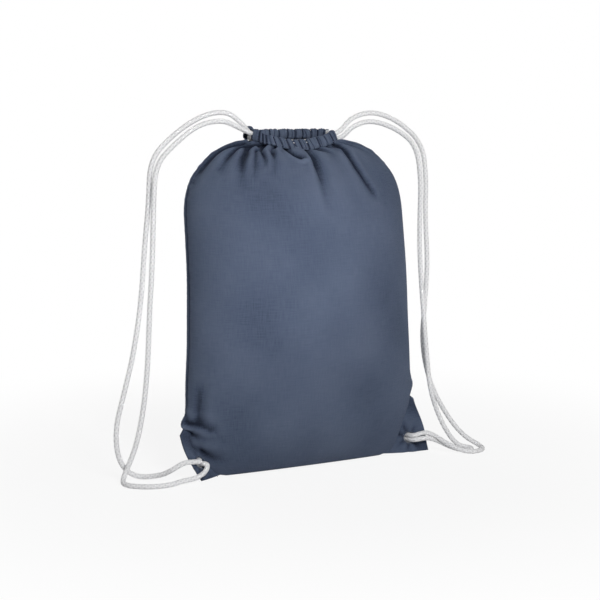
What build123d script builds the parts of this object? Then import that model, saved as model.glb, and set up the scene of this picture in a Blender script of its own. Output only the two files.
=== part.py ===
"""Drawstring backpack: a cotton bag with a channel of turned cloth at its mouth.

Two cords run through the channel, leave it at opposite sides, hang beside the
bag as shoulder straps and are knotted behind holes in the bottom corners.
Millimetres, +Z up, front towards -Y. The origin is on the floor, under the bag.
"""

import os
from math import atan2, degrees, pi, radians, tan

from build123d import *

# ---- driving dimensions -------------------------------------------------

# Filled bag
BAG_HEIGHT = 394.0  # floor to the foot of the drawcord channel
BAG_WIDTH = 300.0  # across the widest bottom part
BAG_DEPTH = 154.0  # front to back at the belly
CLOTH = 1.6  # wall that stands for the cotton cloth and its slack
BASE_Y = -12.0  # where the bottom seam stands
LEAN = 29.0  # how far the mouth sits behind the bottom seam

# Drawcord channel
RING_STRAIGHT = 74.0  # straight stretch of the channel, side to side
RING_RADIUS = 18.0  # bend of the channel at each side
CHANNEL_HEIGHT = 16.0  # outside
CHANNEL_DEPTH = 10.4  # outside, across the gathered tube
CHANNEL_WALL = 1.1
SIDE_GAP = 20.0  # opening between the two channels at each side

# Corner tabs
TAB_THICK = 3.6  # folded and sewn cloth
TAB_FRONT_Y = -27.2  # front face
HOLE_RADIUS = 6.9
HOLE_RIM = 1.6  # width of the overcast thread
HOLE_RIM_PROUD = 0.5
LEFT_HOLE = (-145.0, 22.0)  # x, z
RIGHT_HOLE = (147.0, 20.0)

# Cords
CORD = 6.0
KNOT_RADIUS = 8.6
KNOT_LENGTH = 14.0
KNOT_FRONT = 14.0  # how far its face stands in front of the origin
PIVOT_GAP = 0.3  # between a strap strand's round end and the held cord

# Stitching
THREAD = 0.7
STITCH = 3.2
STITCH_STEP = 4.6
HEM_STITCH_LIFT = 2.2  # above the channel's foot
TAB_STITCHES = 12  # in the row that closes each tab

PARTS = "parts"
os.makedirs(PARTS, exist_ok=True)


def save(part, name):
    """Label a finished piece and write it under its own name."""
    part.label = name
    export_step(part, f"{PARTS}/{name}.step")


# ---- bag body -----------------------------------------------------------

MOUTH_Y = BASE_Y + LEAN
RING_HALF = RING_STRAIGHT / 2 + RING_RADIUS
MOUTH_HALF_X = RING_HALF + CHANNEL_DEPTH / 2
MOUTH_HALF_Y = RING_RADIUS + CHANNEL_DEPTH / 2

# Share of the height, of the full width and of the full depth, foot to mouth
STATIONS = [
    (0.0, 0.70, 0.54),
    (0.03, 0.83, 0.63),
    (0.09, 0.95, 0.77),
    (0.18, 1.0, 0.89),
    (0.36, 0.985, 1.0),
    (0.60, 0.97, 1.0),
    (0.80, 0.945, 0.93),
    (0.90, 0.885, 0.76),
    (0.96, 0.745, 0.58),
]


def bag_outline(inset):
    """Ellipses up the bag, each inset by the cloth's thickness."""
    rows = []
    for height, wide, deep in STATIONS:
        half_x = BAG_WIDTH / 2 * wide
        half_y = BAG_DEPTH / 2 * deep
        rows.append((height * BAG_HEIGHT, half_x - inset, half_y - inset))
    rows.append((BAG_HEIGHT, MOUTH_HALF_X - inset, MOUTH_HALF_Y - inset))
    return rows


def lean_at(z):
    """Middle of the bag, front to back, at a height."""
    return BASE_Y + LEAN * z / BAG_HEIGHT


with BuildPart() as bag_outside:
    for z, half_x, half_y in bag_outline(0):
        with BuildSketch(Plane.XY.offset(z)):
            with Locations((0, lean_at(z))):
                Ellipse(half_x, half_y)
    loft()

with BuildPart() as bag_inside:
    for z, half_x, half_y in bag_outline(CLOTH):
        lift = CLOTH * (1 - z / BAG_HEIGHT)
        with BuildSketch(Plane.XY.offset(z + lift)):
            with Locations((0, lean_at(z))):
                Ellipse(half_x, half_y)
    loft()

# The side seams and the bottom seam lie in one plane, which leans with the bag
SEAM_PLANE = Plane(
    origin=(0, BASE_Y, 0),
    x_dir=(1, 0, 0),
    z_dir=(0, -BAG_HEIGHT, LEAN),
)

for panel, side in (("front_panel", Keep.TOP), ("back_panel", Keep.BOTTOM)):
    with BuildPart() as cloth:
        add(bag_outside.part)
        add(bag_inside.part, mode=Mode.SUBTRACT)
        split(bisect_by=SEAM_PLANE, keep=side)
    save(cloth.part, panel)

# ---- drawcord channels --------------------------------------------------

CHANNEL_FOOT = Plane.XY.offset(BAG_HEIGHT)
CAVITY_FOOT = Plane.XY.offset(BAG_HEIGHT + CHANNEL_WALL)
CAVITY_HEIGHT = CHANNEL_HEIGHT - 2 * CHANNEL_WALL
CAVITY_DEPTH = CHANNEL_DEPTH - 2 * CHANNEL_WALL


def ring_sketch(depth):
    """A racetrack band of that depth around the channel's middle line."""
    with BuildSketch(mode=Mode.PRIVATE) as band:
        SlotCenterToCenter(RING_STRAIGHT, 2 * RING_RADIUS + depth)
        SlotCenterToCenter(
            RING_STRAIGHT, 2 * RING_RADIUS - depth, mode=Mode.SUBTRACT
        )
    return band.sketch


for channel, sign in (("front_channel", -1), ("back_channel", 1)):
    with BuildPart() as hem:
        with BuildSketch(CHANNEL_FOOT):
            with Locations((0, MOUTH_Y)):
                add(ring_sketch(CHANNEL_DEPTH))
        extrude(amount=CHANNEL_HEIGHT)
        with BuildSketch(CAVITY_FOOT):
            with Locations((0, MOUTH_Y)):
                add(ring_sketch(CAVITY_DEPTH))
        extrude(amount=CAVITY_HEIGHT, mode=Mode.SUBTRACT)
        half_depth = RING_RADIUS + CHANNEL_DEPTH
        keep_y = MOUTH_Y + sign * (SIDE_GAP / 2 + half_depth / 2)
        with Locations((0, keep_y, BAG_HEIGHT + CHANNEL_HEIGHT / 2)):
            Box(
                4 * RING_HALF,
                half_depth,
                2 * CHANNEL_HEIGHT,
                mode=Mode.INTERSECT,
            )
    save(hem.part, channel)

# ---- stitches along the foot of each channel ----------------------------

STITCH_Z = BAG_HEIGHT + HEM_STITCH_LIFT
HEM_FACE = RING_RADIUS + CHANNEL_DEPTH / 2
BEND_STEP = degrees(STITCH_STEP / HEM_FACE)
straight_count = int(RING_STRAIGHT // STITCH_STEP)
bend_reach = 90 - degrees(atan2(SIDE_GAP / 2 + STITCH, HEM_FACE))
bend_count = int(bend_reach // BEND_STEP)

for name, sign in (("front", -1), ("back", 1)):
    with BuildPart() as stitches:
        row_y = MOUTH_Y + sign * (HEM_FACE + THREAD / 2)
        with Locations((0, row_y, STITCH_Z)):
            with GridLocations(STITCH_STEP, 0, straight_count, 1):
                Box(STITCH, THREAD, THREAD)
        for end in (-1, 1):
            for turn in range(1, bend_count + 1):
                angle = end * turn * BEND_STEP
                centre = Location((end * RING_STRAIGHT / 2, MOUTH_Y, STITCH_Z))
                swing = Location((0, 0, 0), (0, 0, -sign * angle))
                reach = Location((0, sign * (HEM_FACE + THREAD / 2), 0))
                with Locations(centre * swing * reach):
                    Box(STITCH, THREAD, THREAD)
    save(stitches.part, f"{name}_channel_stitching")

# ---- corner tabs and their bound holes ----------------------------------

# Outlines in x and z; each inner point lies inside the bag and is cut back
LEFT_TAB = [(-168, 58), (-164, 32), (-156, 14), (-146, 1), (-106, 1), (-96, 20)]
RIGHT_TAB = [(159, 62), (168, 28), (173, 1), (108, 1), (96, 20)]
TAB_PLANE = Plane(origin=(0, TAB_FRONT_Y, 0), x_dir=(1, 0, 0), z_dir=(0, 1, 0))


def tab_point(place):
    """A point of the tab's plane, whose own y runs down the bag."""
    return (place[0], -place[1])


TABS = (("left", LEFT_TAB, LEFT_HOLE), ("right", RIGHT_TAB, RIGHT_HOLE))

for side, outline, hole in TABS:
    with BuildPart() as tab:
        with BuildSketch(TAB_PLANE):
            with BuildLine():
                Polyline([tab_point(p) for p in outline], close=True)
            make_face()
        extrude(amount=TAB_THICK)
        add(bag_outside.part, mode=Mode.SUBTRACT)
        with BuildSketch(TAB_PLANE):
            with Locations(tab_point(hole)):
                Circle(HOLE_RADIUS + HOLE_RIM)
        extrude(amount=TAB_THICK, mode=Mode.SUBTRACT)
    save(tab.part, f"{side}_corner_tab")

    with BuildPart() as rim:
        with BuildSketch(TAB_PLANE.offset(-HOLE_RIM_PROUD)):
            with Locations(tab_point(hole)):
                Circle(HOLE_RADIUS + HOLE_RIM)
                Circle(HOLE_RADIUS, mode=Mode.SUBTRACT)
        extrude(amount=TAB_THICK + 2 * HOLE_RIM_PROUD)
    save(rim.part, f"{side}_hole_binding")

# Row of stitches on each tab's front face, lower end first, in x and z
LEFT_ROW = ((-112, 4), (-152, 48))
RIGHT_ROW = ((115, 4), (154, 48))

for side, row in (("left", LEFT_ROW), ("right", RIGHT_ROW)):
    low, high = row
    slope = degrees(atan2(high[1] - low[1], high[0] - low[0]))
    with BuildPart() as stitches:
        for place in range(TAB_STITCHES):
            share = place / (TAB_STITCHES - 1)
            x = low[0] + (high[0] - low[0]) * share
            z = low[1] + (high[1] - low[1]) * share
            spot = Location((x, TAB_FRONT_Y - THREAD / 2, z))
            with Locations(spot * Location((0, 0, 0), (0, -slope, 0))):
                Box(STITCH, THREAD, THREAD)
    save(stitches.part, f"{side}_tab_stitching")

# ---- cords --------------------------------------------------------------

# Routes in x, y, z. Each list is one stretch of cord, knot side last.
LEFT_RUN = [
    (-68.1, 17.4, 420.9),
    (-55.3, 22.6, 406.0),
    (-46.6, 35.0, 405.6),
    (55.0, 35.0, 405.6),
    (55.0, -1.0, 405.6),
    (-46.6, -1.0, 405.6),
    (-55.3, 11.4, 405.7),
    (-69.9, 16.6, 413.7),
]
RIGHT_RUN = [
    (70.0, 17.4, 408.3),
    (55.3, 22.2, 398.8),
    (46.6, 35.0, 398.6),
    (-55.0, 35.0, 398.6),
    (-55.0, -1.0, 398.6),
    (46.6, -1.0, 398.6),
    (55.3, 11.8, 398.3),
    (72.1, 16.5, 400.9),
]
LEFT_OUTER = [
    (-68.1, 17.4, 420.9),
    (-87, 18.5, 434),
    (-121, 18, 428),
    (-160, 15, 404),
    (-187, 12.5, 377),
    (-190, 10, 330),
    (-197, 8, 277),
    (-203, 5.5, 214),
    (-214, 4, 154),
    (-226, 6, 107),
    (-237, 9, 64),
    (-232, 12, 24),
    (-212, 12, 3.4),
    (-188, -10, 8),
    (-180, -25, 17),
    (-167.0, -31.5, 26.3),
]
LEFT_INNER = [
    (-69.9, 16.6, 413.7),
    (-94, 12, 423.5),
    (-127, 9.5, 418),
    (-158, 7.5, 396),
    (-184, 3.5, 372),
    (-188, 1, 326),
    (-191.5, -2.5, 262),
    (-197, -4.5, 202),
    (-201, -7, 140),
    (-207, -7, 88),
    (-216, -3, 42),
    (-231, 4, 5),
    (-235, -14, 3),
    (-214, -34, 3),
    (-188, -38, 3),
    (-171.4, -33.7, 10.0),
]
RIGHT_OUTER = [
    (70.0, 17.4, 408.3),
    (85, 19.5, 425),
    (117, 19.5, 433),
    (154, 16.5, 420),
    (186, 12, 392),
    (190.5, 8, 350),
    (186, 3, 300),
    (188, -1, 243),
    (182, -6, 192),
    (174, -10, 140),
    (182, -17, 88),
    (202, -26, 46),
    (222, -37, 17),
    (247, -47, 3.4),
    (238, -66, 3),
    (210, -69, 3),
    (192, -55, 10),
    (174.6, -31.4, 25.2),
]
RIGHT_INNER = [
    (72.1, 16.5, 400.9),
    (85, 14, 415),
    (111, 12.5, 422),
    (146, 10, 411),
    (174, 6.5, 390),
    (179, 2.5, 346),
    (172.5, -5, 290),
    (170.5, -11, 235),
    (172, -18, 176),
    (174, -24, 120),
    (176, -30, 76),
    (191, -36, 34),
    (210, -41, 6),
    (228, -49, 3),
    (219, -60, 3),
    (199, -54, 5),
    (177.4, -32.6, 14.6),
]
LEFT_TAIL_UPPER = [
    (-167.0, -31.5, 26.3),
    (-145.0, -33.4, 25.2),
    (-145.0, -14.0, 25.2),
]
LEFT_TAIL_LOWER = [
    (-171.4, -33.7, 10.0),
    (-152.0, -34.5, 9.0),
    (-145.0, -34.0, 18.8),
    (-145.0, -14.0, 18.8),
]
RIGHT_TAIL_UPPER = [
    (174.6, -31.4, 25.2),
    (147.0, -33.4, 23.2),
    (147.0, -14.0, 23.2),
]
RIGHT_TAIL_LOWER = [
    (177.4, -32.6, 14.6),
    (147.0, -33.8, 16.8),
    (147.0, -14.0, 16.8),
]


def free_radii(route):
    """The largest arc at each corner of a free stretch."""
    radii = []
    for a, b, c in zip(route, route[1:], route[2:]):
        run_in = Vector(*b) - Vector(*a)
        run_out = Vector(*c) - Vector(*b)
        turn = radians(run_in.get_angle(run_out))
        reach = 0.45 * min(run_in.length, run_out.length)
        radii.append(reach / tan(turn / 2))
    return radii


def cord_tube(name, stretches, round_ends=()):
    """Sweep round cord along its stretches and write them as one node."""
    with BuildPart() as tube:
        for route, radii in stretches:
            with BuildLine() as line:
                FilletPolyline(*route, radius=radii)
            path = line.wires()[0]
            with BuildSketch(Plane(origin=path @ 0, z_dir=path % 0)):
                Circle(CORD / 2)
            sweep(path=path)
            area = pi * CORD**2 / 4
            print(name, "radii", [round(r, 1) for r in radii])
            print(name, "length", round(path.length, 1), "mm")
            print(name, "section x length", round(area * path.length), "mm3")
        for place in round_ends:
            with Locations(place):
                Sphere(CORD / 2)
    print(name, "volume", round(tube.part.volume), "mm3")
    save(tube.part, name)


def drawn_back(route):
    """A held stretch, stopped short of the round ends that turn beside it."""
    back = CORD / 2 + PIVOT_GAP
    first = Vector(*route[0]) - Vector(*route[1])
    last = Vector(*route[-1]) - Vector(*route[-2])
    start = Vector(*route[0]) - first.normalized() * back
    end = Vector(*route[-1]) - last.normalized() * back
    return start, end


EXIT_BEND = 8.0  # bend between the channel and the strap
for name, route in (("left", LEFT_RUN), ("right", RIGHT_RUN)):
    start, end = drawn_back(route)
    bend = RING_RADIUS - 0.1
    held = [start, *[Vector(*p) for p in route[1:-1]], end]
    radii = [EXIT_BEND, bend, bend, bend, bend, EXIT_BEND]
    cord_tube(f"{name}_cord_in_channel", [(held, radii)])

STRANDS = (
    ("left_strap_outer", LEFT_OUTER),
    ("left_strap_inner", LEFT_INNER),
    ("right_strap_outer", RIGHT_OUTER),
    ("right_strap_inner", RIGHT_INNER),
)
for name, route in STRANDS:
    ends = (route[0], route[-1])
    cord_tube(name, [(route, free_radii(route))], round_ends=ends)

TAIL_BEND = 5.0  # fold over the rim of the hole
TAILS = (
    ("left_cord_ends", LEFT_TAIL_UPPER, LEFT_TAIL_LOWER),
    ("right_cord_ends", RIGHT_TAIL_UPPER, RIGHT_TAIL_LOWER),
)
for name, upper, lower in TAILS:
    stretches = []
    for route in (upper, lower):
        start, _ = drawn_back(route)
        held = [start, *[Vector(*p) for p in route[1:]]]
        stretches.append((held, [TAIL_BEND] * (len(held) - 2)))
    cord_tube(name, stretches)

# ---- knots behind the corners -------------------------------------------

for side, _, hole in TABS:
    with BuildPart() as knot:
        with BuildSketch(Plane.XZ.offset(KNOT_FRONT)):
            with Locations(hole):
                Circle(KNOT_RADIUS)
        extrude(amount=-KNOT_LENGTH)
        fillet(knot.edges(), KNOT_RADIUS / 2)
    save(knot.part, f"{side}_knot")
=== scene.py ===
from math import cos, pi, radians, sin

import bpy
import numpy as np
from mathutils import Matrix, Vector


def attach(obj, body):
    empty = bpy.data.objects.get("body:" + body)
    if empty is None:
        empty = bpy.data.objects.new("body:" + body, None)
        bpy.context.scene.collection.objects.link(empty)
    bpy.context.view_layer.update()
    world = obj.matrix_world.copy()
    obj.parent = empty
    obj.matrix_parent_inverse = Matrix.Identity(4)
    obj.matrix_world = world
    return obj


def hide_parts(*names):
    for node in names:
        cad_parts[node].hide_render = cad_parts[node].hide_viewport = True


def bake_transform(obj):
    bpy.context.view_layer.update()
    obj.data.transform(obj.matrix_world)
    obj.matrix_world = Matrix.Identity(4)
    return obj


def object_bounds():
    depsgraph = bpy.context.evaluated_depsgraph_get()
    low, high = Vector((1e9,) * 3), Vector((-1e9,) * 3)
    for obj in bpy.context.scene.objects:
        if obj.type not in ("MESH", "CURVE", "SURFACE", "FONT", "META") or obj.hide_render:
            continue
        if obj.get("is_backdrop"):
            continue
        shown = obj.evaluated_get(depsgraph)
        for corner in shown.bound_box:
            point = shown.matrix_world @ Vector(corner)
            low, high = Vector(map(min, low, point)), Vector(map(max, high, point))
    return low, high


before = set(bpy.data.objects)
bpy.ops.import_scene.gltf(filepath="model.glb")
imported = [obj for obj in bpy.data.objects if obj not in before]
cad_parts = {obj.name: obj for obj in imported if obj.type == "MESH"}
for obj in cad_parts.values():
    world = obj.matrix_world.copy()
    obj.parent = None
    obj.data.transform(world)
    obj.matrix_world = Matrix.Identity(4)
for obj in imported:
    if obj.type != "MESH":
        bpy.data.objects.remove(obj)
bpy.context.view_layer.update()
bpy.ops.object.select_all(action="DESELECT")

# ---- Front and back panels ------------------------------------------------
# Two rectangles of navy plain-weave cotton, sewn inside out along both sides and
# the bottom. Filled, they stand as one round-shouldered shell, and their top
# edges are gathered on the cords, which throws folds over the shoulders.

MM = 0.001
FLAT_WIDTH = 0.373
FLAT_HEIGHT = 0.455
CLOTH_THICKNESS = 1.0 * MM
MOUTH_Y = 17.0
MOUTH_STRAIGHT = 37.0  # half of the gathered mouth's straight stretch
MOUTH_BEND = 18.0
MOUTH_FOOT = 399.5  # height of the channel's foot at the side seams
FRONT_DIP = 7.5  # how much lower the front of the mouth hangs

# Height at the seam, shift to the right, half width, seam y,
# front y and its height, back y and its height
GIRTHS = [
    (0.8, 0, 100, -20, -20.6, 0.8, -19.4, 0.8),
    (1.0, 0, 107, -19.5, -24, 1.0, 15, 1.0),
    (7, 0, 124, -19, -37, 7, 27, 7),
    (26, 0, 141, -17.5, -53.5, 26, 39, 26),
    (58, -1, 151, -14, -69, 58, 50, 58),
    (105, 0.5, 151.5, -8, -77, 105, 60, 105),
    (160, 3.5, 149, -2, -79, 160, 68, 160),
    (225, 4, 146.5, 3, -77, 225, 70, 225),
    (285, 4, 146, 8, -71, 285, 71, 285),
    (325, 3, 144.5, 11, -62, 325, 69, 325),
    (352, 3, 137, 13.5, -49, 352, 63, 352),
    (371, 3, 123, 15, -37, 368, 55, 370),
    (385, 3, 107, 16, -26.5, 379, 49, 383),
    (394, 2.5, 88, 16.5, -15.5, 386.5, 44, 392),
]


def smooth(x):
    """0 below 0, 1 above 1, and an even curve between."""
    x = np.clip(x, 0, 1)
    return x * x * (3 - 2 * x)


def mouth_line(u, front, reach):
    """Half of the mouth's racetrack, left seam to right seam, reach outside the cords."""
    bend = MOUTH_BEND + reach
    arc = bend * pi / 2
    run = u * (2 * arc + 2 * MOUTH_STRAIGHT)
    turn_in = run / bend
    turn_out = pi / 2 - (run - arc - 2 * MOUTH_STRAIGHT) / bend
    on_left = run < arc
    on_front = run <= arc + 2 * MOUTH_STRAIGHT
    x = np.where(
        on_left,
        -MOUTH_STRAIGHT - bend * np.cos(turn_in),
        np.where(on_front, run - arc - MOUTH_STRAIGHT, MOUTH_STRAIGHT + bend * np.cos(turn_out)),
    )
    y = np.where(on_left, bend * np.sin(turn_in), np.where(on_front, bend, bend * np.sin(turn_out)))
    dip = FRONT_DIP if front else 0.0
    z = MOUTH_FOOT - dip * np.abs(np.sin(pi * u)) ** 1.5
    return np.stack([x, MOUTH_Y + (-y if front else y), z], -1)


def girth_rows(u, front):
    """Each girth's point at every u, from the floor to the mouth."""
    rows = []
    across, out = np.cos(pi * u), np.abs(np.sin(pi * u))
    for seam_z, shift, half, seam_y, front_y, front_z, back_y, back_z in GIRTHS:
        middle_y, middle_z = (front_y, front_z) if front else (back_y, back_z)
        x = shift - (half + 1.5) * np.sign(across) * np.abs(across) ** 1.08
        y = seam_y + (middle_y - seam_y) * out**1.06
        rows.append(np.stack([x, y, seam_z + (middle_z - seam_z) * out**2], -1))
    rows.append(mouth_line(u, front, 4.6))
    return np.array(rows)


def along_rows(rows, t):
    """A smooth curve through the rows, at a place t for each column."""
    top = len(rows) - 1
    i = np.clip(np.floor(t).astype(int), 0, top - 1)
    f = (t - i)[:, None]
    column = np.arange(len(t))
    before, here = rows[np.clip(i - 1, 0, top), column], rows[i, column]
    there, after = rows[i + 1, column], rows[np.clip(i + 2, 0, top), column]
    return 0.5 * (
        2 * here
        + (there - before) * f
        + (2 * before - 5 * here + 4 * there - after) * f**2
        + (3 * here - before - 3 * there + after) * f**3
    )


def cloth_at(u, v, front):
    """Smooth cloth, without its folds, at shares u across and v up."""
    t = np.linspace(0, len(GIRTHS), 3000)
    middle = along_rows(girth_rows(np.full(len(t), 0.5), front), t)
    length = np.concatenate([[0], np.cumsum(np.linalg.norm(np.diff(middle, axis=0), axis=1))])
    return along_rows(girth_rows(u, front), np.interp(v, length / length[-1], t))


def gather(share):
    """Crevices of the cloth bunched on the cords: 1 in a crevice and 0 on a crest."""
    warped = share + 0.010 * np.sin(2 * pi * 3.3 * share + 0.7) + 0.0065 * np.sin(2 * pi * 7.7 * share)
    depth = 0.66 + 0.22 * np.sin(2 * pi * 5.3 * share + 1.1) + 0.12 * np.sin(2 * pi * 11.9 * share)
    return depth * (1 - np.abs(np.sin(pi * 21 * warped)) ** 0.62)


# Folds: points across and up, depth and width in mm at both ends, and a lean
FRONT_FOLDS = [
    ([(0.368, 1.0), (0.392, 0.982), (0.425, 0.958), (0.452, 0.943)], (4.5, 6.5), (2.6, 4.2), 0.3),
    ([(0.44, 1.0), (0.50, 0.976), (0.508, 0.924), (0.512, 0.864), (0.514, 0.79)], (5.0, 0.5), (2.6, 9), 0.4),
    ([(0.83, 1.0), (0.77, 0.985), (0.71, 0.96), (0.683, 0.934), (0.675, 0.872), (0.69, 0.83)],
     (4.5, 1.6), (2.6, 6), -0.4),
    ([(0.69, 1.0), (0.675, 0.98), (0.667, 0.952)], (3.2, 0.5), (2.2, 6), 0.2),
    ([(0.88, 1.0), (0.83, 0.979), (0.825, 0.93)], (2.8, 0.4), (2.4, 8), 0.0),
    ([(0.94, 1.0), (0.92, 0.97), (0.91, 0.93)], (2.6, 0.4), (2.2, 7), 0.0),
    ([(0.171, 1.0), (0.218, 0.971), (0.217, 0.915)], (4.4, 0.6), (2.3, 6), 0.3),
    ([(0.237, 1.0), (0.305, 0.955), (0.325, 0.915)], (5.0, 0.8), (2.4, 5), -0.3),
    ([(0.117, 1.0), (0.10, 0.983), (0.125, 0.945)], (4.0, 0.6), (2.2, 6), 0.2),
    ([(0.055, 1.0), (0.05, 0.96), (0.055, 0.89)], (4.0, 0.8), (2.4, 5), 0.2),
    ([(0.025, 1.0), (0.022, 0.95), (0.03, 0.86)], (3.6, 0.8), (2.4, 5), 0.2),
    ([(0.145, 1.0), (0.155, 0.965), (0.16, 0.90)], (4.2, 0.8), (2.4, 5), 0.2),
    ([(0.20, 0.979), (0.233, 0.937), (0.263, 0.855)], (2.8, 0.5), (2.6, 6), 0.0),
    ([(0.262, 0.968), (0.287, 0.923), (0.296, 0.882)], (3.0, 0.5), (2.4, 5), 0.0),
    ([(0.345, 0.965), (0.354, 0.939), (0.362, 0.89)], (2.0, 0.4), (2.6, 6), 0.0),
    ([(0.30, 1.0), (0.33, 0.975), (0.345, 0.95)], (3.2, 0.5), (2.0, 4), 0.0),
    ([(0.50, 1.0), (0.55, 0.985), (0.572, 0.97)], (2.8, 0.4), (2.0, 4), 0.0),
    ([(0.575, 1.0), (0.596, 0.981), (0.61, 0.955)], (3.2, 0.4), (2.2, 5), 0.0),
    ([(0.0, 0.213), (0.058, 0.201), (0.10, 0.2), (0.146, 0.19)], (3.4, 1.6), (3.4, 5), 0.35),
    ([(0.0, 0.178), (0.05, 0.171), (0.095, 0.163)], (3.2, 0.4), (3.0, 6), 0.2),
    ([(0.095, 0.30), (0.09, 0.26), (0.087, 0.222)], (0.8, 1.8), (7, 7), 0.0),
    ([(0.07, 0.12), (0.13, 0.10), (0.18, 0.085)], (2.4, 0.4), (5, 9), 0.0),
    ([(0.99, 0.235), (0.95, 0.215), (0.91, 0.20)], (2.0, 0.3), (4, 8), 0.0),
]
BACK_FOLDS = [
    ([(0.07, 1.0), (0.075, 0.96), (0.10, 0.90)], (4.0, 0.4), (2.4, 7), 0.2),
    ([(0.15, 1.0), (0.19, 0.95), (0.21, 0.85), (0.22, 0.78)], (4.6, 0.5), (2.4, 9), 0.3),
    ([(0.235, 1.0), (0.27, 0.965), (0.30, 0.92)], (4.2, 0.5), (2.2, 6), -0.2),
    ([(0.33, 1.0), (0.36, 0.97), (0.40, 0.90), (0.41, 0.81), (0.415, 0.72)], (5.0, 0.6), (2.6, 10), 0.4),
    ([(0.43, 1.0), (0.45, 0.975), (0.455, 0.94)], (3.4, 0.5), (2.2, 5), 0.0),
    ([(0.52, 1.0), (0.535, 0.96), (0.56, 0.89), (0.58, 0.80)], (4.4, 0.5), (2.4, 9), -0.3),
    ([(0.60, 1.0), (0.615, 0.975), (0.63, 0.95)], (3.6, 0.5), (2.2, 5), 0.0),
    ([(0.68, 1.0), (0.70, 0.96), (0.73, 0.88), (0.74, 0.80)], (4.6, 0.6), (2.4, 8), 0.3),
    ([(0.77, 1.0), (0.765, 0.965), (0.78, 0.93)], (3.6, 0.4), (2.2, 6), 0.0),
    ([(0.85, 1.0), (0.835, 0.96), (0.84, 0.89)], (4.0, 0.5), (2.4, 7), -0.2),
    ([(0.93, 1.0), (0.925, 0.965), (0.91, 0.91)], (3.4, 0.4), (2.2, 7), 0.0),
    ([(0.0, 0.213), (0.06, 0.215), (0.13, 0.235)], (2.6, 0.4), (3.4, 8), 0.0),
    ([(1.0, 0.22), (0.94, 0.21), (0.86, 0.225)], (2.6, 0.4), (3.4, 8), 0.0),
    ([(0.03, 0.11), (0.10, 0.10), (0.20, 0.12)], (2.0, 0.4), (5, 10), 0.0),
    ([(0.97, 0.11), (0.90, 0.10), (0.80, 0.115)], (2.0, 0.4), (5, 10), 0.0),
]
FOLD_STRENGTH = 2.1  # the filled cloth's folds against the depths above


def fold_depth(places, normals, front, points, depth, width, lean):
    """How far one fold moves each point of the cloth, in mm."""
    marks = np.array(points)
    steps = np.linspace(0, 1, 28)
    knots = np.linspace(0, 1, len(marks))
    order = min(len(marks) - 1, 3)
    across = np.polyval(np.polyfit(knots, marks[:, 0], order), steps)
    up = np.polyval(np.polyfit(knots, marks[:, 1], order), steps)
    line = cloth_at(np.clip(across, 0, 1), np.clip(up, 0, 1), front)
    near = np.full(len(places), 1e9)
    share = np.zeros(len(places))
    side = np.zeros(len(places))
    for k in range(len(line) - 1):
        step = line[k + 1] - line[k]
        away = places - line[k]
        t = np.clip(away @ step / (step @ step), 0, 1)
        gap = away - t[:, None] * step
        far = np.linalg.norm(gap, axis=1)
        closer = far < near
        near = np.where(closer, far, near)
        share = np.where(closer, (k + t) / (len(line) - 1), share)
        hand = np.einsum("ij,ij->i", np.cross(step, gap), normals)
        side = np.where(closer, np.sign(hand), side)
    deep = depth[0] + (depth[1] - depth[0]) * share
    wide = width[0] + (width[1] - width[0]) * share
    wide = wide * (1 + lean * side)
    valley = np.exp(-((near / wide) ** 1.25))
    crest = np.exp(-(((near - 2.1 * wide) / (1.1 * wide)) ** 2))
    return FOLD_STRENGTH * (-deep * valley + 0.26 * deep * crest)


def cloth_grid(name, columns, rows):
    """A flat grid, and the column and row of each of its points."""
    bpy.ops.mesh.primitive_grid_add(x_subdivisions=columns, y_subdivisions=rows, size=1)
    piece = bpy.context.object
    piece.name = piece.data.name = name
    flat = np.empty(len(piece.data.vertices) * 3)
    piece.data.vertices.foreach_get("co", flat)
    flat = flat.reshape(-1, 3)
    column = np.rint((flat[:, 0] + 0.5) * columns).astype(int)
    row = np.rint((flat[:, 1] + 0.5) * rows).astype(int)
    return piece, column, row


def put_points(piece, places_mm):
    """Moves a mesh's points to places in mm."""
    piece.data.vertices.foreach_set("co", (places_mm * MM).astype(np.float32).ravel())
    piece.data.update()


def put_uv(piece, across, up):
    """Gives each corner its place on the flat cloth, in metres."""
    corner = np.empty(len(piece.data.loops), int)
    piece.data.loops.foreach_get("vertex_index", corner)
    uv = np.stack([across[corner], up[corner]], -1).astype(np.float32)
    piece.data.uv_layers[0].data.foreach_set("uv", uv.ravel())


def mark_fold_shade(piece, depth):
    """Stores how deep each point lies in a fold, which the cloth's colour turns into painted shade in the
    folds and a paler tone on the crests.
    """
    layer = piece.data.attributes.new("fold_depth", "FLOAT", "POINT")
    layer.data.foreach_set("value", depth.astype(np.float32))


def apply_all(piece):
    """Applies a piece's modifiers in order and shades it smooth."""
    bpy.ops.object.select_all(action="DESELECT")
    piece.select_set(True)
    bpy.context.view_layer.objects.active = piece
    for modifier in [m.name for m in piece.modifiers]:
        bpy.ops.object.modifier_apply(modifier=modifier)
    bpy.ops.object.shade_smooth_by_angle(angle=radians(50))


def thicken(piece, thickness, offset=-1.0):
    """Gives a sheet its thickness."""
    wall = piece.modifiers.new("Thickness", "SOLIDIFY")
    wall.thickness = thickness
    wall.offset = offset


PANEL_COLUMNS = 196
PANEL_RISE = 438.0  # from the floor to the channel along the middle, in mm
PANEL_SPAN = 372.0  # from seam to seam, in mm
PANEL_ROWS = np.concatenate([np.linspace(0, 0.80, 118, endpoint=False), np.linspace(0.80, 1.0, 97)])


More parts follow.
